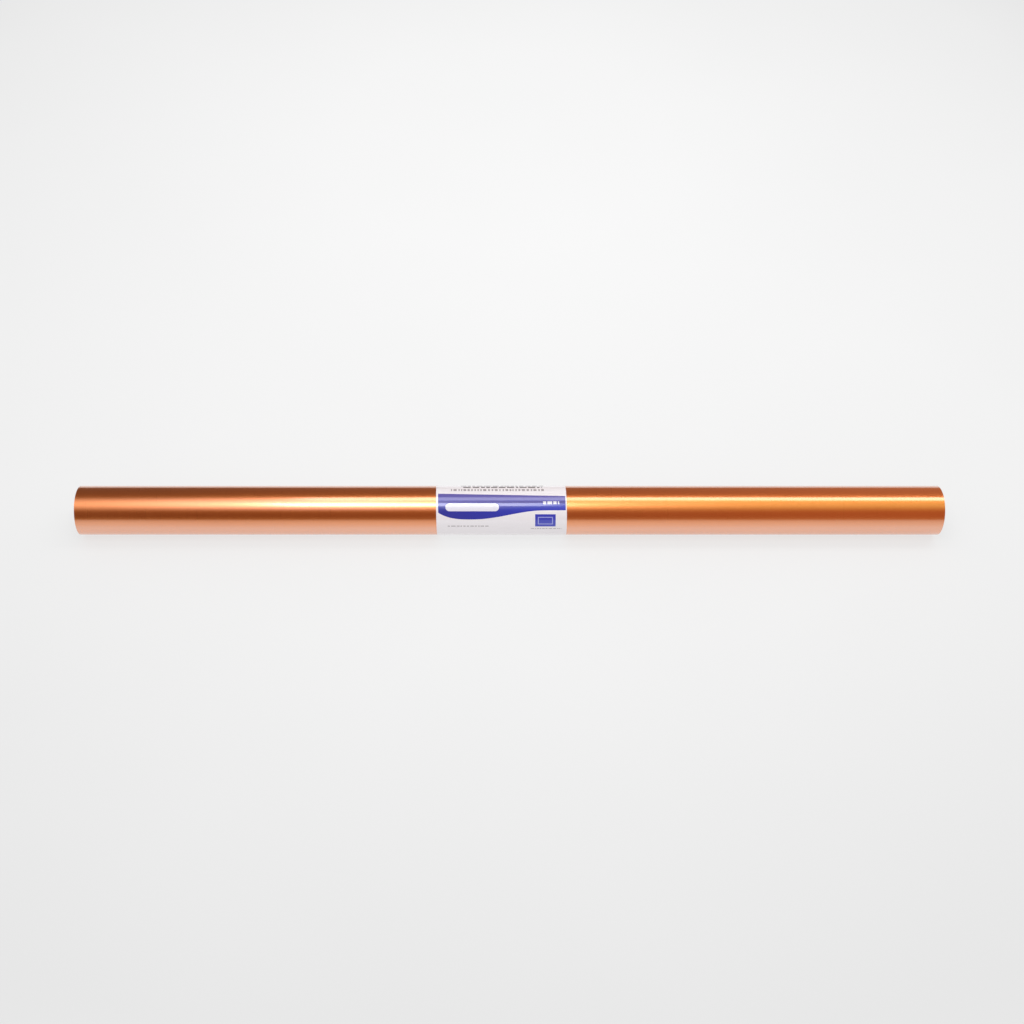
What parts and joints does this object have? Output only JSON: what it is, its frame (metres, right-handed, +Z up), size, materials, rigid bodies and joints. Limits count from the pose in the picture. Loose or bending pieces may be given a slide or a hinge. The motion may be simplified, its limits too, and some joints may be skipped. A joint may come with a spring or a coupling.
{
  "type": "copper foil roll",
  "caption": "Long slim roll of copper-coloured foil on backing paper, wound on a paperboard core and closed by a glossy printed paper band that slides off.",
  "frame": {"origin": "on the core's axis, half way along the roll", "axes": "+X along the core's axis, towards the end that is further from the band; +Z up; -Y the side that the print faces"},
  "size_m": [0.7, 0.0404, 0.0404],
  "materials": {
    "core_board": "matte",
    "tape": "satin",
    "backing": "matte",
    "foil": "satin copper, glossy coat",
    "band_paper": "gloss coated",
    "glue": "satin"
  },
  "bodies": {
    "roll": {"core_inner_ply": "core_board", "core_middle_ply": "core_board", "core_outer_ply": "core_board", "start_tape_left": "tape", "start_tape_middle": "tape", "start_tape_right": "tape", "backing_paper": "backing", "copper_foil": "foil"},
    "band": {"paper_band": "band_paper", "band_glue": "glue"}
  },
  "joints": [
    {"name": "band_slide", "type": "slide", "parent": "roll", "child": "band", "axis": [1, 0, 0], "range_m": [-0.4, 0.412]}
  ]
}
